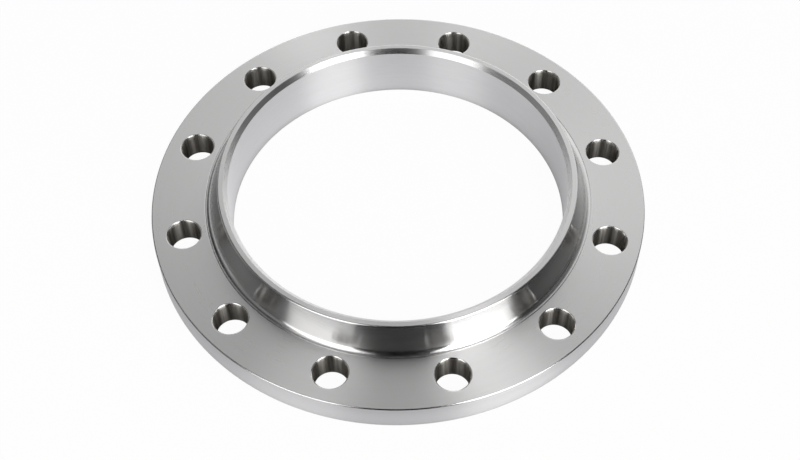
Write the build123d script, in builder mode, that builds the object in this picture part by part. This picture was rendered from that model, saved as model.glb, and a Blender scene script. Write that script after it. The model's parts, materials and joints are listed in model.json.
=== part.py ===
from build123d import *
import os

# Slip-on flange for a 273 mm pipe, in millimetres.
# It is one forged steel ring, turned all over and drilled for twelve bolts.
# It lies on its gasket face with the hub pointing up.
# The origin is the centre of the gasket face and +Z runs up the pipe's axis.

# The pipe slides into the bore and is welded at both ends.
pipe_diameter = 273.0
pipe_clearance = 1.5
mouth_chamfer = 3.5

# The hub is the short collar that stiffens the ring and carries the outer weld.
# Its outside is a cone: the foot is wider than the end by the flare, all round.
hub_wall = 8.0
hub_height = 24.0
hub_flare = 8.5
hub_root_radius = 5.0
hub_edge_break = 1.0

# The ring carries the bolts, and its raised face presses the gasket.
ring_thickness = 26.0
raised_face_height = 2.0
gasket_edge_break = 0.5
rim_wall = 12.0
rim_edge_break = 1.0

# The bolts stand clear of the hub's root, with room to turn their nuts.
bolt_count = 12
bolt_hole_diameter = 26.0
bolt_hole_chamfer = 1.2
nut_across_flats = 36.0
gasket_clearance = 4.5

# Sizes that follow from the ones above.
bore_radius = pipe_diameter / 2 + pipe_clearance
hub_radius = bore_radius + hub_wall
hub_foot_radius = hub_radius + hub_flare
bolt_hole_radius = bolt_hole_diameter / 2
bolt_circle_radius = hub_foot_radius + hub_root_radius + nut_across_flats / 2
flange_radius = bolt_circle_radius + bolt_hole_radius + rim_wall
raised_face_radius = bolt_circle_radius - bolt_hole_radius - gasket_clearance
overall_height = ring_thickness + hub_height

# An edge of the turned blank is found by its radius, to within this much.
match = 0.01


def circles(edges, radius):
    """The round edges of one radius, the lowest first."""
    round_edges = edges.filter_by(GeomType.CIRCLE)
    return round_edges.filter_by(lambda edge: abs(edge.radius - radius) < match).sort_by(Axis.Z)


with BuildPart() as flange:
    # The turned blank is half a section, swung once round the pipe's axis.
    with BuildSketch(Plane.XZ):
        with BuildLine():
            Polyline(
                (bore_radius, 0),
                (raised_face_radius, 0),
                (raised_face_radius, raised_face_height),
                (flange_radius, raised_face_height),
                (flange_radius, ring_thickness),
                (hub_foot_radius, ring_thickness),
                (hub_radius, overall_height),
                (bore_radius, overall_height),
                close=True,
            )
        make_face()
    revolve(axis=Axis.Z)

    # The hub grows out of the ring in a round corner, so that no crack starts there.
    fillet(circles(flange.edges(), hub_foot_radius)[0], hub_root_radius)

    # At the hub's end the bore is opened to lead the pipe in, and the outer edge is broken.
    hub_end = flange.edges().group_by(Axis.Z)[-1].sort_by(SortBy.RADIUS)
    chamfer(hub_end[0], mouth_chamfer)
    chamfer(hub_end[-1], hub_edge_break)

    # Both edges of the rim are broken, and so are both edges of the gasket face.
    chamfer(circles(flange.edges(), flange_radius), rim_edge_break)
    gasket_circles = flange.edges().group_by(Axis.Z)[0]
    chamfer(gasket_circles, gasket_edge_break)

    # The bolt holes straddle the centre lines and are countersunk lightly on both sides.
    with PolarLocations(bolt_circle_radius, bolt_count, start_angle=180 / bolt_count):
        Hole(bolt_hole_radius)
    chamfer(circles(flange.edges(), bolt_hole_radius), bolt_hole_chamfer)

flange.part.label = "flange"

os.makedirs("parts", exist_ok=True)
export_step(flange.part, "parts/flange.step")

print("bore diameter", 2 * bore_radius)
print("hub diameter at its end", 2 * hub_radius)
print("hub diameter at its foot", 2 * hub_foot_radius)
print("bolt circle diameter", 2 * bolt_circle_radius)
print("flange diameter", 2 * flange_radius)
print("raised face diameter", 2 * raised_face_radius)
print("overall height", overall_height)
print("volume in cubic centimetres", round(flange.part.volume / 1000, 1))
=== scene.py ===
# %% [markdown]
# # A slip-on pipe flange
#
# A slip-on flange is one forged steel ring, turned all over on a lathe and drilled for its bolts.
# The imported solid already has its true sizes. What it lacks is the look of turned metal: rounds
# that stay round, fine tool marks, and a different finish on each face that a different tool cut.
# So this script makes the same shape again as a fine mesh, from the same sizes, and gives each
# cut face its own finish.

# %% Load the frame
import bpy
import json
import math
from mathutils import Matrix, Vector


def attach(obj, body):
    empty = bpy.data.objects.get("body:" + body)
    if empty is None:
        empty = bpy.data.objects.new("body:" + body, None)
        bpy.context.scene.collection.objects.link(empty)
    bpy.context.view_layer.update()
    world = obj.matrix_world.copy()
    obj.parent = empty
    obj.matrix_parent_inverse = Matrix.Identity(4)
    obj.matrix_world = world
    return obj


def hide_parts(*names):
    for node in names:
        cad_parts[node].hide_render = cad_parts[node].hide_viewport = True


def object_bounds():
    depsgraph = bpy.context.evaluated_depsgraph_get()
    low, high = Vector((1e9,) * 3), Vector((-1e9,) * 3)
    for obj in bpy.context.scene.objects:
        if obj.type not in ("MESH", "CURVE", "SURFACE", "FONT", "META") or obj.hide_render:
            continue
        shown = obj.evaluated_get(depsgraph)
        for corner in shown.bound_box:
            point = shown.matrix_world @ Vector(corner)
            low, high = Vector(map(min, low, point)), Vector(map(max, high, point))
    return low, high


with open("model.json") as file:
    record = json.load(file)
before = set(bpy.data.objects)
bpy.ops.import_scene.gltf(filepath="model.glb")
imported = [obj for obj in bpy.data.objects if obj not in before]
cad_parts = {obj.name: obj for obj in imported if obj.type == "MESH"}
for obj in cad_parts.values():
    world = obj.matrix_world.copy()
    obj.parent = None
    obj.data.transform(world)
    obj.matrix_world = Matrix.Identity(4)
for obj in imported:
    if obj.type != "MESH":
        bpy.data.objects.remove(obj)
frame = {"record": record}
cad_low, cad_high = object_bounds()
mm = 0.001


def sides_in_mm(low, high):
    """How long, wide and high a box is."""
    return [round((upper - lower) / mm, 2) for lower, upper in zip(low, high)]


print("the frame's box, mm:", sides_in_mm(cad_low, cad_high))

# %% [markdown]
# ## Sizes
#
# Blender works in metres. What other parts fit to (bore, bolt holes, flat faces) is in the record
# that comes with the frame, so it is read from there. The rest belongs to the flange alone. Some
# of it is as in the solid: the hub's wall and slope, its root radius and the breaks on sharp
# edges. Some is too fine for the solid: the eased mouths of the bolt holes, the tool line and
# the slight waves at the hub's foot, and the grooves under the flange.

# %% Read the fitting sizes and name the rest
mounts = {mount["name"]: mount for mount in frame["record"]["mounts"]}
bolts = mounts["bolt_circle"]["dims"]

sizes = {
    "Bore radius": mounts["pipe_bore"]["dims"]["r_mm"] * mm,
    "Hub wall": 8.0 * mm,
    "Flange radius": (cad_high.x - cad_low.x) / 2,
    "Raised face radius": 160.0 * mm,
    "Ring top": mounts["nut_face"]["pos_m"][2],
    "Raised face height": 2.0 * mm,
    "Overall height": cad_high.z,
    "Hub flare": 8.5 * mm,
    "Root radius": 5.0 * mm,
    "Tool line width": 1.0 * mm,
    "Tool line depth": 0.14 * mm,
    "Chatter depth": 0.12 * mm,
    "Mouth chamfer": 3.5 * mm,
    "Hub edge break": 1.0 * mm,
    "Rim edge break": 1.0 * mm,
    "Gasket edge break": 0.5 * mm,
    "Gasket groove depth": 0.04 * mm,
    "Bolt circle radius": bolts["pcd_mm"] / 2 * mm,
    "Bolt hole radius": bolts["hole_r_mm"] * mm,
    "Bolt hole easing": 1.6 * mm,
    "Bolt hole easing depth": 4.0 * mm,
}
counts = {
    "Bolt count": bolts["count"],
    "Steps round": 360,
    "Steps round a hole": 96,
    "Steps in the root": 40,
    "Steps in an edge": 8,
    "Steps in a mouth": 5,
    "Gasket grooves": 26,
}
for name, size in sizes.items():
    print(f"{name}: {size / mm:.2f} mm")
for name, count in counts.items():
    print(f"{name}: {count}")

# %% [markdown]
# ## A short way to write node trees
#
# Both the shape and the finishes are made of nodes. Adding and linking nodes one by one is long,
# so the two classes here do both in one call. A number that flows through a tree is wrapped as a
# Flow, so that a sum in the tree is written as a sum.

# %% A value that flows through a tree
class Flow:
    """A value on its way through a node tree. It can be added, taken away, multiplied and divided."""

    def __init__(self, tree, socket):
        self.tree = tree
        self.socket = socket

    def __add__(self, other):
        return self.tree.math("ADD", self, other)

    def __sub__(self, other):
        return self.tree.math("SUBTRACT", self, other)

    def __mul__(self, other):
        return self.tree.math("MULTIPLY", self, other)

    def __truediv__(self, other):
        return self.tree.math("DIVIDE", self, other)


print("a flow can be added, taken away, multiplied and divided")

# %% A tree that is written like a formula
def pick(sockets, key):
    """A socket by its number, or the one in use that has this name."""
    if isinstance(key, int):
        return sockets[key]
    return next(socket for socket in sockets if socket.name == key and socket.enabled)


class Tree:
    """A node tree with short ways to add a node, feed it and read it."""

    def __init__(self, node_tree):
        self.nodes = node_tree.nodes
        self.links = node_tree.links

    def feed(self, node, feeds):
        """Gives a node its inputs, by name or by number: a flow is linked, a plain value is written."""
        for key, value in feeds.items():
            socket = pick(node.inputs, key)
            if isinstance(value, Flow):
                self.links.new(value.socket, socket)
            else:
                socket.default_value = value

    def add(self, kind, feeds=None, **settings):
        """Adds a node, sets its options and feeds it."""
        node = self.nodes.new(kind)
        for name, value in settings.items():
            setattr(node, name, value)
        self.feed(node, feeds or {})
        return node

    def flow(self, kind, feeds=None, out=0, **settings):
        """Adds a node and gives one of its outputs."""
        return Flow(self, pick(self.add(kind, feeds, **settings).outputs, out))

    def math(self, operation, first, second=0.0):
        return self.flow("ShaderNodeMath", {0: first, 1: second}, operation=operation)

    def vector_math(self, operation, first, second=(0.0, 0.0, 0.0)):
        return self.flow("ShaderNodeVectorMath", {0: first, 1: second}, operation=operation)

    def scale(self, vector, factor):
        return self.flow("ShaderNodeVectorMath", {0: vector, "Scale": factor}, operation="SCALE")

    def length(self, vector):
        return self.flow("ShaderNodeVectorMath", {0: vector}, "Value", operation="LENGTH")

    def dot(self, first, second):
        return self.flow("ShaderNodeVectorMath", {0: first, 1: second}, "Value", operation="DOT_PRODUCT")

    def point(self, x=0.0, y=0.0, z=0.0):
        return self.flow("ShaderNodeCombineXYZ", {0: x, 1: y, 2: z})


print("a tree can add, feed and read its nodes")

# %% An empty tree with named inputs
def new_geometry_group(name, inputs):
    """An empty geometry tree with named inputs. Gives the group, its Tree and its inputs as flows."""
    group = bpy.data.node_groups.new(name, "GeometryNodeTree")
    for label, kind in inputs.items():
        group.interface.new_socket(label, in_out="INPUT", socket_type=kind)
    group.interface.new_socket("Geometry", in_out="OUTPUT", socket_type="NodeSocketGeometry")
    tree = Tree(group)
    entry = tree.nodes.new("NodeGroupInput")
    flows = {label: Flow(tree, entry.outputs[label]) for label in inputs}
    return group, tree, flows


print("node groups so far:", len(bpy.data.node_groups))

# %% [markdown]
# ## A lathe
#
# A lathe swings a section round an axis. The Spin operator does that once, but a small node group
# can be used again for every cut, with its own number of steps. It lays out a flat grid, then moves
# each corner of the grid: its place along the section comes from the section's points, and its
# place round the axis from an angle. The two ends of the grid meet and are merged.
# Each cut also writes a number on its faces, which later tells which finish they take.

# %% The lathe group
weld_distance = 0.001 * mm


def make_lathe():
    group, tree, given = new_geometry_group("Lathe", {
        "Section": "NodeSocketGeometry",
        "Steps": "NodeSocketInt",
        "Finish": "NodeSocketInt",
    })
    points = tree.flow("GeometryNodeCurveToPoints", {"Curve": given["Section"]}, "Points", mode="EVALUATED")
    along = tree.flow("GeometryNodeAttributeDomainSize", {
        "Geometry": points,
    }, "Point Count", component="POINTCLOUD")
    grid = tree.flow("GeometryNodeMeshGrid", {
        "Vertices X": given["Steps"] + 1,
        "Vertices Y": along,
    }, "Mesh")
    index = tree.flow("GeometryNodeInputIndex")
    on_section = tree.flow("GeometryNodeSampleIndex", {
        "Geometry": points,
        "Value": tree.flow("GeometryNodeInputPosition"),
        "Index": tree.math("MODULO", index, along),
    }, "Value", data_type="FLOAT_VECTOR", domain="POINT")
    steps_round = tree.math("FLOOR", index / along)
    swung = tree.flow("ShaderNodeVectorRotate", {
        "Vector": on_section,
        "Angle": steps_round * math.tau / given["Steps"],
    }, rotation_type="Z_AXIS")
    turned = tree.flow("GeometryNodeSetPosition", {"Geometry": grid, "Position": swung})
    closed = tree.flow("GeometryNodeMergeByDistance", {"Geometry": turned, "Distance": weld_distance})
    numbered = tree.flow("GeometryNodeStoreNamedAttribute", {
        "Geometry": closed,
        "Name": "finish",
        "Value": given["Finish"],
    }, data_type="INT", domain="FACE")
    tree.add("NodeGroupOutput", {"Geometry": numbered})
    return group


lathe = make_lathe()
print("lathe group:", len(lathe.nodes), "nodes")

# %% [markdown]
# ## The flange as a rule
#
# The flange could be modelled by hand, ring by ring. Here it is one node tree instead, so that a
# size can be changed later and everything that follows from it moves along. Every surface is a
# stretch of the section swung round the pipe's axis, or a flat ring with holes in it, or the wall
# of a bolt hole. Each takes the finish of the tool that cut it.

# %% Finishes, by number
finish_names = ["faced", "bright", "bored", "rim", "chamfer", "edge", "drilled", "grooved"]
finish_number = {name: number for number, name in enumerate(finish_names)}
print("finish numbers:", finish_number)

# %% An empty tree for the flange
inputs = {name: "NodeSocketFloat" for name in sizes}
inputs.update({name: "NodeSocketInt" for name in counts})
flange_group, flange_tree, given = new_geometry_group("Slip-on flange", inputs)
print("the flange's tree has", len(inputs), "inputs")

# %% [markdown]
# ## The places of the section
#
# The section is half of the flange, cut from the axis outwards. Its corners are worked out in the
# tree from the named inputs. The hub is a cone: its outside leans in as it rises, so the round
# corner at its root is not quite a quarter circle, and neither is its rounded upper edge. Both
# start and end at a distance from the sharp corner that follows from how far the hub leans.

# %% Radii and heights
bore, rim, ring_top = given["Bore radius"], given["Flange radius"], given["Ring top"]
hub, hub_end = bore + given["Hub wall"], given["Overall height"]
face, lift = given["Raised face radius"], given["Raised face height"]
mouth, hub_break = given["Mouth chamfer"], given["Hub edge break"]
rim_break, gasket_break = given["Rim edge break"], given["Gasket edge break"]
line, line_depth = given["Tool line width"], given["Tool line depth"]
print("from the bore to the rim:", round((sizes["Flange radius"] - sizes["Bore radius"]) / mm, 2), "mm")

# %% The lean of the hub, and where its rounds end
quarter = math.radians(90)
flare = given["Hub flare"]
lean = flange_tree.math("ARCTAN2", flare, hub_end - ring_top)
lean_sine, lean_cosine = flange_tree.math("SINE", lean), flange_tree.math("COSINE", lean)

# A round of radius 1 between the cone and a flat face starts and ends this far from their corner.
reach = flange_tree.math("TANGENT", lean * -0.5 + quarter / 2)

root = given["Root radius"]
run_out = root * reach
corner = hub + flare
foot = corner + run_out
cone_foot = (corner - run_out * lean_sine, ring_top + run_out * lean_cosine)
cone_top = (hub + hub_break * lean_sine, hub_end - hub_break * lean_cosine)
hub_height = sizes["Overall height"] - sizes["Ring top"]
print("the hub leans in by", round(math.degrees(math.atan2(sizes["Hub flare"], hub_height)), 1), "degrees")

# %% [markdown]
# ## Drawing a stretch and swinging it
#
# A section drawn by hand would keep its sizes in its points. Here each stretch is a curve primitive
# between places that the tree works out: a line, or an arc that is stood up in the section's plane.
# Each is swung on its own, because each has its own finish. Where two of them meet, their corners
# are in the same places, so they can be merged later.

# %% Straight and round stretches
def at(place):
    """The point of the section at a (radius, height) place."""
    radius, height = place
    return flange_tree.point(radius, 0.0, height)


def straight(start, finish):
    """A straight stretch of the section, from one place to another."""
    return flange_tree.flow("GeometryNodeCurvePrimitiveLine", {"Start": at(start), "End": at(finish)})


def flat_arc(radius, start, sweep, steps):
    """A round stretch that still lies flat, about the origin."""
    return flange_tree.flow("GeometryNodeCurveArc", {
        "Resolution": given[steps],
        "Radius": radius,
        "Start Angle": start,
        "Sweep Angle": sweep,
    }, "Curve", mode="RADIUS")


def stood_up(flat, centre, stretch=1.0):
    """Stands a flat arc up in the section's plane, about its centre. A stretch over 1 makes it taller."""
    return flange_tree.flow("GeometryNodeTransform", {
        "Geometry": flat,
        "Translation": at(centre),
        "Rotation": (quarter, 0.0, 0.0),
        "Scale": flange_tree.point(1.0, stretch, 1.0),
    })


print("nodes in the flange's tree so far:", len(flange_tree.nodes))

# %% Swinging and joining
def swing(section, finish, steps="Steps round"):
    """Swings a stretch once round, and numbers its faces with their finish."""
    return flange_tree.flow("GeometryNodeGroup", {
        "Section": section,
        "Steps": given[steps],
        "Finish": finish_number[finish],
    }, node_tree=lathe)


def join(parts):
    """All the parts as one geometry. The one input of the Join node takes a link from each."""
    joined = flange_tree.add("GeometryNodeJoinGeometry")
    for part in parts:
        flange_tree.feed(joined, {0: part})
    return Flow(flange_tree, joined.outputs[0])


lathe_inputs = [item.name for item in lathe.interface.items_tree if item.in_out == "INPUT"]
print("the lathe takes:", ", ".join(lathe_inputs))

# %% [markdown]
# ## The straight cuts
#
# These are the walls, the hub's end, the chamfer that leads the pipe in, and the small bevels under
# the flange. They are listed as they follow each other round the section: up the outside, in over
# the top, down the bore and out at the bottom, which makes every face point outwards. Just outside
# the hub's root the tool left a fine line in the ring, and its two sides are cuts like the others.

# %% Straight cuts
stretches = [
    ((face - gasket_break, 0.0), (face, gasket_break), "edge"),
    ((face, gasket_break), (face, lift), "rim"),
    ((rim, lift + rim_break), (rim, ring_top - rim_break), "rim"),
    ((foot + line, ring_top), (foot + line * 0.5, ring_top - line_depth), "bright"),
    ((foot + line * 0.5, ring_top - line_depth), (foot, ring_top), "bright"),
    (cone_foot, cone_top, "bright"),
    ((hub - hub_break, hub_end), (bore + mouth, hub_end), "faced"),
    ((bore + mouth, hub_end), (bore, hub_end - mouth), "chamfer"),
    ((bore, hub_end - mouth), (bore, gasket_break), "bored"),
    ((bore, gasket_break), (bore + gasket_break, 0.0), "edge"),
]
straight_cuts = [swing(straight(start, finish), kind) for start, finish, kind in stretches]
print("straight cuts:", len(straight_cuts))

# %% [markdown]
# ## Rounded edges
#
# Both edges of the rim and the outer edge of the hub's end are broken, so that they don't cut
# anyone's hands. On the real flange they show as thin lines of light, because somewhere on a round
# there is nearly always a place that mirrors a lamp. A Bevel modifier could round them, but it
# would have to find them on the finished mesh. As arcs they end exactly where the straight cuts
# begin.

# %% Rounded edges
hub_round = hub_break / reach
edge_rounds = [
    ((rim - rim_break, lift + rim_break), rim_break, 3 * quarter, quarter),
    ((rim - rim_break, ring_top - rim_break), rim_break, 0.0, quarter),
    ((hub - hub_break, hub_end - hub_round), hub_round, lean, lean * -1.0 + quarter),
]
rounded_edges = [
    swing(stood_up(flat_arc(radius, start, sweep, "Steps in an edge"), centre), "edge")
    for centre, radius, start, sweep in edge_rounds
]
print("rounded edges:", len(rounded_edges))

# %% [markdown]
# ## The root of the hub
#
# The hub grows out of the ring in a round corner, so that no crack starts there. A perfect round
# would mirror the room in clean, even bands. The real one was cut with a tool that shook a little,
# and its slight waves make the bands uneven. Here noise moves each point of the arc in or out by a
# few hundredths of a millimetre, and not at all at the two ends, where the neighbours meet it.

# %% Chatter
chatter_step = 0.3


def chattered(flat, radius, depth, steps):
    """Leaves a flat arc a little wavy. Neighbouring points are a chatter step apart in the noise."""
    index, last = flange_tree.flow("GeometryNodeInputIndex"), given[steps] - 1
    wave = flange_tree.flow("ShaderNodeTexNoise", {
        "W": index * chatter_step,
        "Scale": 1.0,
    }, "Fac", noise_dimensions="1D")
    # This is 0 at both ends of the arc and 1 in its middle.
    held_at_the_ends = index * (last - index) / (last * last) * 4.0
    rise = (wave - 0.5) * held_at_the_ends * depth / radius
    outwards = flange_tree.scale(flange_tree.flow("GeometryNodeInputPosition"), rise)
    return flange_tree.flow("GeometryNodeSetPosition", {"Geometry": flat, "Offset": outwards})


print("chatter step:", chatter_step)

# %% The root, drawn from the foot up
root_arc = flat_arc(root, 3 * quarter, lean - quarter, "Steps in the root")
wavy_arc = chattered(root_arc, root, given["Chatter depth"], "Steps in the root")
hub_root = swing(stood_up(wavy_arc, (foot, ring_top + root)), "bright")
print("points in the root:", counts["Steps in the root"])

# %% [markdown]
# ## The gasket face
#
# The sealing face under the flange is cut with fine rings that the gasket is pressed into. A bump
# in the finish would do for a distant view, but from below at a slant real grooves look right at
# any distance, and they cost little: a level line is cut into four steps for each groove, and a
# cosine lifts it.

# %% Gasket face
steps_per_groove = 4
level_line = straight((bore + gasket_break, 0.0), (face - gasket_break, 0.0))
finely = flange_tree.flow("GeometryNodeResampleCurve", {
    "Curve": level_line,
    "Count": given["Gasket grooves"] * steps_per_groove + 1,
})
phase = flange_tree.flow("GeometryNodeInputIndex") * (math.tau / steps_per_groove)
rise = (flange_tree.math("COSINE", phase) * -0.5 + 0.5) * given["Gasket groove depth"]
grooved = flange_tree.flow("GeometryNodeSetPosition", {
    "Geometry": finely,
    "Offset": flange_tree.point(z=rise),
})
gasket_face = swing(grooved, "grooved")
print("points across the gasket face:", counts["Gasket grooves"] * steps_per_groove + 1)

# %% [markdown]
# ## The places of the bolts
#
# The holes are evenly spaced on the bolt circle and straddle the centre lines, as is usual on
# pipe flanges. A mesh circle with one corner for each bolt, turned by half a pitch, gives the
# places. What is made once round the origin is then put on each of them, which is shorter than
# twelve copies placed by hand and follows the number of bolts.

# %% Bolt places
half_pitch = flange_tree.math("DIVIDE", math.pi, given["Bolt count"])
bolt_circle = flange_tree.flow("GeometryNodeMeshCircle", {
    "Vertices": given["Bolt count"],
    "Radius": given["Bolt circle radius"],
})
bolt_points = flange_tree.flow("GeometryNodeTransform", {
    "Geometry": bolt_circle,
    "Rotation": flange_tree.point(z=half_pitch),
})


def at_bolts(thing):
    """The same thing at every bolt."""
    put = flange_tree.flow("GeometryNodeInstanceOnPoints", {"Points": bolt_points, "Instance": thing})
    return flange_tree.flow("GeometryNodeRealizeInstances", {"Geometry": put})


print("bolts:", counts["Bolt count"], "and half a pitch is", 180 / counts["Bolt count"], "degrees")

# %% [markdown]
# ## The flat rings
#
# The upper and the lower face of the ring are flat, with twelve holes. A Boolean could cut the
# holes, but their mouths would then have to be found and eased on the finished mesh. A flat ring is
# only the area between circles, so Fill Curve makes it at once from its outer circle, its inner
# circle and the mouths of the holes, all with the same points as the cuts that they meet. It fills
# the area with long thin triangles, which don't show, because the ring is truly flat.

# %% Flat rings
hole = given["Bolt hole radius"]
ease, ease_depth = given["Bolt hole easing"], given["Bolt hole easing depth"]


def circle(radius, steps):
    return flange_tree.flow("GeometryNodeCurvePrimitiveCircle", {
        "Resolution": given[steps],
        "Radius": radius,
    })


def flat_ring(outer, inner, height):
    """A flat ring with the mouths of the bolt holes left open. Its faces point up."""
    mouths = at_bolts(circle(hole + ease, "Steps round a hole"))
    outline = join([circle(outer, "Steps round"), circle(inner, "Steps round"), mouths])
    filled = flange_tree.flow("GeometryNodeFillCurve", {"Curve": outline}, mode="TRIANGLES")
    raised = flange_tree.flow("GeometryNodeTransform", {
        "Geometry": filled,
        "Translation": flange_tree.point(z=height),
    })
    return flange_tree.flow("GeometryNodeStoreNamedAttribute", {
        "Geometry": raised,
        "Name": "finish",
        "Value": finish_number["faced"],
    }, data_type="INT", domain="FACE")


upper_ring = flat_ring(rim - rim_break, foot + line, ring_top)
lower_ring = flange_tree.flow("GeometryNodeFlipFaces", {"Mesh": flat_ring(rim - rim_break, face, lift)})
print("flat rings: 2, with", counts["Bolt count"], "holes each")

# %% [markdown]
# ## The bolt holes
#
# A drilled hole has a dark wall, because it mirrors mostly itself, and a mouth that was eased with
# a file or a countersink. On the real flange the mouth shows as a thin crescent of light, and the
# wall is dark right up to it. A plain chamfer comes out as a broad grey band, so each mouth opens
# out in a quarter of an ellipse here: its throat, most of it, is still drilled wall, and only the
# last part, the lip, is bright. The wall and both mouths are made once and put at every bolt.

# %% Bolt holes
lip, throat = math.radians(30), math.radians(60)


def mouth_arc(height, start, sweep):
    """Part of a mouth's quarter ellipse. Its centre is at this height."""
    flat = flat_arc(ease, start, sweep, "Steps in a mouth")
    return stood_up(flat, (hole + ease, height), ease_depth / ease)


wall_top, wall_foot = ring_top - ease_depth, lift + ease_depth
hole_cuts = [
    (mouth_arc(wall_top, quarter, lip), "edge"),
    (mouth_arc(wall_top, quarter + lip, throat), "drilled"),
    (straight((hole, wall_top), (hole, wall_foot)), "drilled"),
    (mouth_arc(wall_foot, 2 * quarter, throat), "drilled"),
    (mouth_arc(wall_foot, 2 * quarter + throat, lip), "edge"),
]
bolt_holes = at_bolts(join([swing(cut, kind, "Steps round a hole") for cut, kind in hole_cuts]))
print("cuts in each bolt hole:", len(hole_cuts))

# %% [markdown]
# ## One skin
#
# All the surfaces are joined, and the corners that lie in the same place are merged. That closes
# the skin: what was a set of separate sheets now bounds one solid, as the real ring does.

# %% One skin
surfaces = [*straight_cuts, *rounded_edges, hub_root, gasket_face, upper_ring, lower_ring, bolt_holes]
skin = flange_tree.flow("GeometryNodeMergeByDistance", {
    "Geometry": join(surfaces),
    "Distance": weld_distance,
})
print("surfaces joined:", len(surfaces))

# %% [markdown]
# ## Smooth and crisp
#
# Smooth shading blends the light over neighbouring faces, which is right on walls and rounds. Where
# two tools met there is a real edge, so an edge that turns by more than the crisp angle stays
# sharp. The faced faces are truly flat. Smooth shading would bend their light towards the rounds
# beside them, and on turned steel that shows at once, so they are shaded flat.

# %% Smooth and crisp
crisp_angle = math.radians(12)
stored_finish = flange_tree.flow("GeometryNodeInputNamedAttribute", {
    "Name": "finish",
}, "Attribute", data_type="INT")


def has_finish(name):
    """Picks the faces that take one finish."""
    return flange_tree.flow("FunctionNodeCompare", {
        "A": stored_finish,
        "B": finish_number[name],
    }, data_type="INT", operation="EQUAL")


smooth = flange_tree.flow("GeometryNodeSetShadeSmooth", {"Geometry": skin})
edge_angle = flange_tree.flow("GeometryNodeInputMeshEdgeAngle", out="Unsigned Angle")
crisp = flange_tree.flow("FunctionNodeCompare", {0: edge_angle, 1: crisp_angle}, operation="GREATER_THAN")
with_edges = flange_tree.flow("GeometryNodeSetShadeSmooth", {
    "Geometry": smooth,
    "Selection": crisp,
    "Shade Smooth": False,
}, domain="EDGE")
shaded = flange_tree.flow("GeometryNodeSetShadeSmooth", {
    "Geometry": with_edges,
    "Selection": has_finish("faced"),
    "Shade Smooth": False,
}, domain="FACE")
print("edges over", round(math.degrees(crisp_angle)), "degrees stay crisp")

# %% [markdown]
# ## Turned metal
#
# A turned face is covered with fine rings left by the tool. Seen close, each ring is a tiny groove,
# so light spreads across the rings but stays sharp along them. That is what makes a turned disc
# show bright fans, and a turned wall show upright bars of light. The Principled shader does this
# with Anisotropic: the tangent says which way the light spreads, and here that is across the
# rings, in the plane of the section. It is worked out from the place on the part, so it is right
# on flats, walls and rounds alike. Slow changes in the cut, also rings, go into the roughness and
# into the tone of the steel, and the fine rings into a slight bump as well.

# %% The finish of a turned face
steel = (0.7, 0.696, 0.693)
fine_ring, fine_wander = 0.7 * mm, 12.0
broad_ring, broad_wander = 4.0 * mm, 3.0


def new_finish(name):
    """A new material, its Tree and its Principled shader."""
    material = bpy.data.materials.new(name)
    material.use_nodes = True
    tree = Tree(material.node_tree)
    shader = next(node for node in tree.nodes if node.type == "BSDF_PRINCIPLED")
    return material, tree, shader


def turned_finish(name, roughness, spread, depth=0.001 * mm, unevenness=0.04):
    """Steel cut on the lathe. spread is how much more the light spreads across the rings than along."""
    material, tree, shader = new_finish(name)
    split = tree.add("ShaderNodeSeparateXYZ", {0: tree.flow("ShaderNodeTexCoord", out="Object")})
    x, y, z = (Flow(tree, split.outputs[axis]) for axis in "XYZ")
    from_the_axis = tree.point(x, y, 0.0)
    outwards, radius = tree.vector_math("NORMALIZE", from_the_axis), tree.length(from_the_axis)
    round_the_axis = tree.point(y * -1.0, x, 0.0)
    normal = tree.flow("ShaderNodeNewGeometry", out="Normal")
    across = tree.vector_math("NORMALIZE", tree.vector_math("CROSS_PRODUCT", normal, round_the_axis))

    def rings(width, wander):
        """Noise that changes quickly across the rings, within a ring's width, and slowly along them."""
        along = tree.scale(outwards, wander)
        lifted = tree.vector_math("ADD", along, tree.point(radius / width, 0.0, z / width))
        return tree.flow("ShaderNodeTexNoise", {"Vector": lifted, "Scale": 1.0, "Detail": 2.0}, "Fac")

    fine, broad = rings(fine_ring, fine_wander), rings(broad_ring, broad_wander)
    # Each noise is about a half on average, so sway goes a little over and under 0. The tone sways
    # twice as much as the roughness.
    sway = (fine + broad - 1.0) * unevenness
    bump = tree.flow("ShaderNodeBump", {"Strength": 1.0, "Distance": depth, "Height": fine}, "Normal")
    tree.feed(shader, {
        "Base Color": tree.scale(steel, sway * 2.0 + 1.0),
        "Metallic": 1.0,
        "Roughness": sway + roughness,
        "Anisotropic": spread,
        "Tangent": across,
        "Normal": bump,
    })
    return material


print("rings:", round(fine_ring / mm, 1), "mm and", round(broad_ring / mm, 1), "mm wide")

# %% [markdown]
# ## Drilled metal
#
# The wall of a drilled hole is rougher than a turned one, and its tone is darker: partly the drilled
# steel's own, and partly painted shade of the deep hole. The drill's edges leave upright streaks as
# they come out. An image could carry the streaks, but it would need unwrapped walls. Noise does it
# with no unwrapping: its place on the part is stretched, so that it changes quickly round the hole
# and slowly down it.

# %% The finish of a drilled wall
streaks_per_metre = (400.0, 400.0, 12.0)
streak_low, streak_high = 0.35, 0.65
upwards = (0.0, 0.0, 1.0)


def drilled_finish(name, dark, light, roughness, spread):
    """Steel cut by a drill, streaked from a dark to a light tone. Its light spreads up and down."""
    material, tree, shader = new_finish(name)
    place = tree.flow("ShaderNodeTexCoord", out="Object")
    drawn_out = tree.vector_math("MULTIPLY", place, streaks_per_metre)
    streak = tree.flow("ShaderNodeTexNoise", {"Vector": drawn_out, "Scale": 1.0, "Detail": 3.0}, "Fac")
    share = tree.flow("ShaderNodeMapRange", {
        "Value": streak,
        "From Min": streak_low,
        "From Max": streak_high,
    })
    tone = tree.flow("ShaderNodeMix", {
        "Factor": share,
        "A": (*dark, 1.0),
        "B": (*light, 1.0),
    }, "Result", data_type="RGBA")
    tree.feed(shader, {
        "Base Color": tone,
        "Metallic": 1.0,
        "Roughness": roughness,
        "Anisotropic": spread,
        "Tangent": tree.point(*upwards),
    })
    return material


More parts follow.
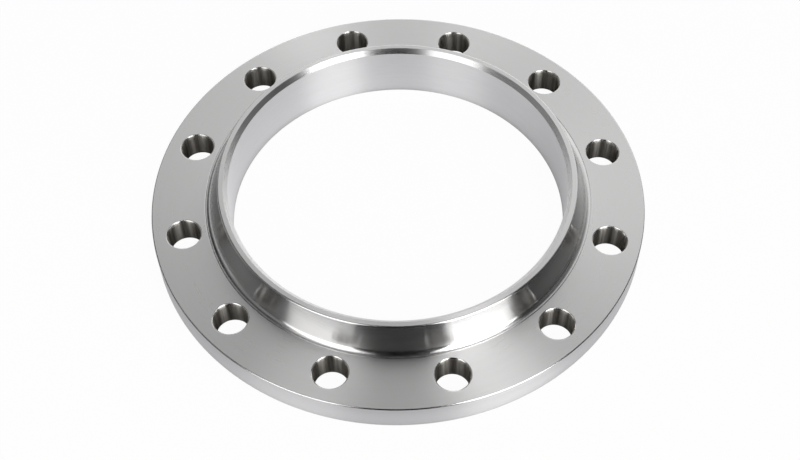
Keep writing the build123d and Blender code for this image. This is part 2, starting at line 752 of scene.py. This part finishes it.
print("streaks: quick over", streaks_per_metre[0], "and slow over", streaks_per_metre[2], "to the metre")

# %% [markdown]
# ## A finish for each kind of face
#
# The same steel looks different after each cut. The flat faces and the hub were turned with a fine
# feed and are smooth, and the hub's wall is the shiniest. The rim and the bore are more matt. The
# edges were only touched with a tool, so their light spreads more evenly. These numbers were
# chosen by setting a render beside the photograph.

# %% All finishes
# Both drilled tones are darker than the turned steel, partly as painted shade of the holes.
dark_streak_and_shade, light_streak_and_shade = (0.3, 0.278, 0.248), (0.62, 0.6, 0.56)
finishes = {
    "faced": turned_finish("faced_steel", roughness=0.28, spread=0.97, depth=0.0006 * mm, unevenness=0.02),
    "bright": turned_finish("bright_turned_steel", roughness=0.2, spread=0.97, depth=0.004 * mm),
    "bored": turned_finish("bored_steel", roughness=0.35, spread=0.9),
    "rim": turned_finish("rim_steel", roughness=0.35, spread=0.9),
    "chamfer": turned_finish("chamfered_steel", roughness=0.28, spread=0.8),
    "edge": turned_finish("broken_edge_steel", roughness=0.2, spread=0.75),
    "drilled": drilled_finish("drilled_steel", dark_streak_and_shade, light_streak_and_shade, roughness=0.38, spread=0.95),
    "grooved": turned_finish("grooved_steel", roughness=0.3, spread=0.5),
}
print("finishes:", ", ".join(material.name for material in finishes.values()))

# %% [markdown]
# ## Finishes on faces
#
# The tree ends by turning what is still an instance into real mesh and by giving out the finishes.
# The first finish goes on everything, and each of the others on the faces that carry its number.
# Assigning them in Edit Mode would have to be done again after each change of a size.

# %% Give out the finishes and end the tree
result = flange_tree.flow("GeometryNodeRealizeInstances", {"Geometry": shaded})
result = flange_tree.flow("GeometryNodeSetMaterial", {
    "Geometry": result,
    "Material": finishes[finish_names[0]],
})
for name in finish_names[1:]:
    result = flange_tree.flow("GeometryNodeSetMaterial", {
        "Geometry": result,
        "Selection": has_finish(name),
        "Material": finishes[name],
    })
flange_tree.add("NodeGroupOutput", {"Geometry": result})
print("the flange's tree:", len(flange_tree.nodes), "nodes")

# %% [markdown]
# ## Make the flange
#
# The tree runs in a modifier on an empty mesh. Its inputs are set by their identifiers before
# Blender first works it out. The result is then made a plain mesh, and the modifier goes.

# %% Run the tree and keep its mesh
def made_by(group, name, values):
    """Runs a geometry tree with these inputs and gives a plain mesh object of the result."""
    scratch = bpy.data.objects.new(name + "_tree", bpy.data.meshes.new(name + "_tree"))
    bpy.context.scene.collection.objects.link(scratch)
    modifier = scratch.modifiers.new(name, "NODES")
    modifier.node_group = group
    for item in group.interface.items_tree:
        if item.in_out == "INPUT" and item.name in values:
            modifier[item.identifier] = values[item.name]
    ready = scratch.evaluated_get(bpy.context.evaluated_depsgraph_get())
    mesh = bpy.data.meshes.new_from_object(ready)
    bpy.data.objects.remove(scratch)
    mesh.name = name
    # The empty mesh had no material, and where that left an empty slot in front, it goes.
    if mesh.materials[0] is None:
        mesh.materials.pop(index=0)
    piece = bpy.data.objects.new(name, mesh)
    bpy.context.scene.collection.objects.link(piece)
    return piece


flange = made_by(flange_group, "turned_flange", {**sizes, **counts})
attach(flange, "root")
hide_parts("flange")
print("flange:", len(flange.data.vertices), "corners and", len(flange.data.polygons), "faces")
print("finishes on it:", ", ".join(material.name for material in flange.data.materials))

# %% [markdown]
# ## The camera
#
# The photograph looks down on the flange at about 54 degrees. A camera could be placed by eye, but
# round edges tell more: each circle of the flange shows as an ellipse, and the sizes and centres of
# those ellipses fix the lens, the height angle and the distance. So the camera here is the one that
# matched them best. It rolls a little, and the flange is turned a little about its own axis, which
# is the same as walking round it with the camera.

# %% Camera
photo_width = 800
focal_length_in_pixels = 1284.93
height_angle = math.radians(53.657)
camera_distance = 1.0381
flange_turn = math.radians(2.457)
camera_roll = math.radians(-1.179)
aim = Vector((0.00125, -0.03862, 0.026))

facing = Matrix.Rotation(flange_turn, 4, "Z")
tilt = Matrix.Rotation(math.pi / 2 - height_angle, 4, "X")
back_off = Matrix.Translation((0.0, 0.0, camera_distance))
lens = bpy.data.cameras.new("camera")
lens.lens = lens.sensor_width * focal_length_in_pixels / photo_width
camera = bpy.data.objects.new("camera", lens)
bpy.context.scene.collection.objects.link(camera)
stand = facing @ Matrix.Translation(aim) @ tilt @ back_off
camera.matrix_world = stand @ Matrix.Rotation(camera_roll, 4, "Z")
bpy.context.scene.camera = camera
camera_place = [round(metres, 3) for metres in camera.matrix_world.translation]
print("camera:", round(lens.lens, 2), "mm lens, at", camera_place)

# %% [markdown]
# ## The floor
#
# Turned steel has hardly a colour of its own: it shows the room, and the floor is half of the room.
# On the real table the paper is bright round the flange, darker in the flange's own shade, and
# fades away past the table's edge. What the metal sees here is painted light: a glow with a painted
# shadow under the ring and a fade past the table's edge. The painted light leans too: outside the
# flange it is brighter towards the stronger lamp, at the front right, and inside the bore it is
# brighter at the back left, which that lamp reaches over the ring. The bore and the rim mirror just
# that. One painted plane could not be pure white for the camera and still so for the metal, so the
# floor answers each kind of ray by itself. The camera sees white with a trace of real paint that
# takes the shadow, the metal sees the painted glow of the lit table, which has a faint sheen that
# passes on the softboxes, and other light meets plain pale paint.

# %% Painted light on the table, for the metal to mirror
# The table's glow, its painted shadow under the ring and the lean of its light are all painted light.
table_radius, table_blur = 250 * mm, 30 * mm
painted_shadow_blur = 6 * mm
painted_table_glow = 0.75
painted_shadow_glow = 0.008
share_past_the_table = 0.03
inside_slope = (-1.9, 1.8, 0.0)
outside_slope = (0.6, -0.9, 0.0)


def ramp(tree, value, low, high):
    """Rises smoothly from 0 to 1 while the value goes from low to high."""
    return tree.flow("ShaderNodeMapRange", {
        "Value": value,
        "From Min": low,
        "From Max": high,
    }, interpolation_type="SMOOTHSTEP")


def painted_table_light(tree):
    """Painted light on the table, for the metal to mirror: a painted shadow under the ring, and fading past
    the table's own edge.
    """
    place = tree.flow("ShaderNodeTexCoord", out="Object")
    radius = tree.length(place)

    def leaning(slope):
        """The painted lean of the light: 1 at the centre, and more or less by the slope for each metre to
        the right and to the back.
        """
        return tree.dot(place, slope) + 1.0

    bore_edge, rim_edge = sizes["Bore radius"], sizes["Flange radius"]
    inside = ramp(tree, radius, bore_edge + painted_shadow_blur, bore_edge - painted_shadow_blur)
    outside = ramp(tree, radius, rim_edge - painted_shadow_blur, rim_edge + painted_shadow_blur)
    off_the_table = ramp(tree, radius, table_radius - table_blur, table_radius + table_blur)
    on_the_table = off_the_table * (share_past_the_table - 1.0) + 1.0
    # Painted light: none under the ring, where a painted shadow lies, and leaning towards the lamps.
    lit = inside * leaning(inside_slope) + outside * leaning(outside_slope) * on_the_table
    return lit * painted_table_glow + painted_shadow_glow


print("the table's edge is", round(table_radius / mm), "mm from the axis")

# %% Floor finish
white, black = (1.0, 1.0, 1.0, 1.0), (0.0, 0.0, 0.0, 1.0)
pale_paint = (0.8, 0.8, 0.8, 1.0)
painted_paper_light = (0.975, 0.97, 1.0, 1.0)
sheen_roughness = 0.2
white_share = 0.965


def floor_finish():
    """A floor that shows itself differently to the camera, to mirroring metal, which sees painted light on
    it, and to other light.
    """
    material = bpy.data.materials.new("pale_floor")
    material.use_nodes = True
    tree = Tree(material.node_tree)
    tree.nodes.clear()
    rays = tree.add("ShaderNodeLightPath")
    to_camera, to_metal = (Flow(tree, rays.outputs[name]) for name in ("Is Camera Ray", "Is Glossy Ray"))
    paint = tree.flow("ShaderNodeBsdfDiffuse", {"Color": pale_paint})
    plain_white = tree.flow("ShaderNodeEmission", {"Color": white, "Strength": 1.0})
    for_camera = tree.flow("ShaderNodeMixShader", {0: white_share, 1: paint, 2: plain_white})
    # For mirroring metal the floor glows: painted light with a painted shadow under the ring, over a faint
    # real sheen.
    painted_glow_for_metal = tree.flow("ShaderNodeBsdfPrincipled", {
        "Base Color": black,
        "Roughness": sheen_roughness,
        "Emission Color": painted_paper_light,
        "Emission Strength": painted_table_light(tree),
    })
    surface = tree.flow("ShaderNodeMixShader", {0: to_camera, 1: paint, 2: for_camera})
    surface = tree.flow("ShaderNodeMixShader", {0: to_metal, 1: surface, 2: painted_glow_for_metal})
    tree.add("ShaderNodeOutputMaterial", {"Surface": surface})
    return material


pale_floor = floor_finish()
print("floor finish:", pale_floor.name, "with", len(pale_floor.node_tree.nodes), "nodes")

# %% Floor
half_the_floor = 6.0


def flat_square(name, half):
    """A flat square on the ground, centred on the origin."""
    square = bpy.data.meshes.new(name)
    corners = [(-half, -half, 0.0), (half, -half, 0.0), (half, half, 0.0), (-half, half, 0.0)]
    square.from_pydata(corners, [], [(0, 1, 2, 3)])
    piece = bpy.data.objects.new(name, square)
    bpy.context.scene.collection.objects.link(piece)
    return piece


floor = flat_square("floor", half_the_floor)
floor.data.materials.append(pale_floor)
print("floor:", [round(side, 1) for side in floor.dimensions[:2]], "m")

# %% [markdown]
# ## Two softboxes
#
# A mirror-like wall shows where the lamps stand. On the near side of the hub there are two bright
# patches with a dark gap between them, so the photographer had two tall softboxes in front of the
# flange, to the left and to the right of the camera, and nothing bright behind the camera. The
# right one is the brighter. Their headings come from the azimuths at which the patches end: a
# softbox's edge is mirrored where the wall faces halfway between that edge and the camera.

# %% Softboxes
def softbox(name, heading, distance, lowest, highest, width, brightness):
    """An upright softbox facing the flange. Heading 0 is +X and -90 the camera's side, in degrees."""
    lamp = bpy.data.lights.new(name, "AREA")
    lamp.shape = "RECTANGLE"
    lamp.size, lamp.size_y = width, highest - lowest
    lamp.energy = brightness * math.pi * width * (highest - lowest)
    stand = bpy.data.objects.new(name, lamp)
    bpy.context.scene.collection.objects.link(stand)
    away = math.radians(heading) + flange_turn
    towards = Vector((math.cos(away), math.sin(away), 0.0))
    stand.location = towards * distance + Vector((0.0, 0.0, (lowest + highest) / 2))
    stand.rotation_euler = towards.to_track_quat("Z", "Y").to_euler()
    print(f"{name}: {lamp.energy:.1f} W, {width:.2f} m wide, from {lowest} to {highest} m high")


softbox("right_softbox", heading=-51.2, distance=1.5, lowest=0.1, highest=4.0, width=0.92, brightness=3.5)
softbox("left_softbox", heading=-129, distance=1.5, lowest=0.1, highest=4.6, width=0.91, brightness=2.0)

# %% [markdown]
# ## The rest of the room
#
# The ring's flat face mirrors the wall behind the flange, above the far edge, and its far side
# comes out lighter than its near side, so that wall is brightest low down. Near the floor the whole
# back of the room glows, which lights the outer edges at the sides. A wide, weak patch on each side
# shows in the hub's wall to the left and to the right, and two small bright ones high overhead
# light the near side of the hub's foot. An image of a studio would do this too, but the world's own
# nodes do it with a few numbers that can be changed one at a time. Each patch is the angle between
# a ray and a direction, turned into light by a smooth ramp. The camera itself sees plain white.

# %% Patches of light
def direction(heading, height):
    """The way towards a place in the room, from its heading and its angle above the floor, in degrees."""
    away, up = math.radians(heading) + flange_turn, math.radians(height)
    return (math.cos(away) * math.cos(up), math.sin(away) * math.cos(up), math.sin(up))


def alignment(tree, heading, height):
    """1 for a ray that goes this way, 0 for one square to it and -1 for the opposite one."""
    return tree.dot(tree.flow("ShaderNodeTexCoord", out="Object"), direction(heading, height))


def lit_patch(tree, heading, height, whole, reach, brightness):
    """A soft round patch of light: even out to the first angle, and gone at the second, in degrees."""
    even, gone = math.cos(math.radians(whole)), math.cos(math.radians(reach))
    return ramp(tree, alignment(tree, heading, height), gone, even) * brightness


straight_up, level_behind = (0, 90), (100, 0)
print("level and behind is", [round(part, 3) for part in direction(*level_behind)])

# %% Room light
glow_gone_at, glow_whole_at = 0.5, 0.0
front_of_the_glow, back_of_the_glow = -0.1, 0.4
back_glow = 0.9
dim_light = 0.003


def room_light(tree):
    """All the light in the room but the softboxes."""
    # The glow is whole at the floor, gone 30 degrees above it, and only behind the flange.
    near_the_floor = ramp(tree, alignment(tree, *straight_up), glow_gone_at, glow_whole_at)
    at_the_back = ramp(tree, alignment(tree, *level_behind), front_of_the_glow, back_of_the_glow)
    back_wall = lit_patch(tree, heading=78, height=33, whole=9, reach=43, brightness=1.07)
    right_overhead = lit_patch(tree, heading=-14, height=71, whole=5, reach=12, brightness=3.6)
    left_overhead = lit_patch(tree, heading=-166, height=71, whole=5, reach=12, brightness=1.3)
    right_side = lit_patch(tree, heading=8, height=32, whole=5, reach=26, brightness=0.16)
    left_side = lit_patch(tree, heading=192, height=35, whole=5, reach=30, brightness=0.26)
    sides = right_overhead + left_overhead + right_side + left_side
    return near_the_floor * at_the_back * back_glow + back_wall + sides + dim_light


world = bpy.data.worlds.new("studio")
world.use_nodes = True
world_tree = Tree(world.node_tree)
world_tree.nodes.clear()
rays = world_tree.add("ShaderNodeLightPath")
room = world_tree.flow("ShaderNodeBackground", {"Color": white, "Strength": room_light(world_tree)})
backdrop = world_tree.flow("ShaderNodeBackground", {"Color": white, "Strength": 1.0})
to_camera = Flow(world_tree, rays.outputs["Is Camera Ray"])
surface = world_tree.flow("ShaderNodeMixShader", {0: to_camera, 1: room, 2: backdrop})
world_tree.add("ShaderNodeOutputWorld", {"Surface": surface})
bpy.context.scene.world = world
bpy.context.scene.view_settings.view_transform = "Standard"
print("room light:", len(world_tree.nodes), "nodes in", world.name)
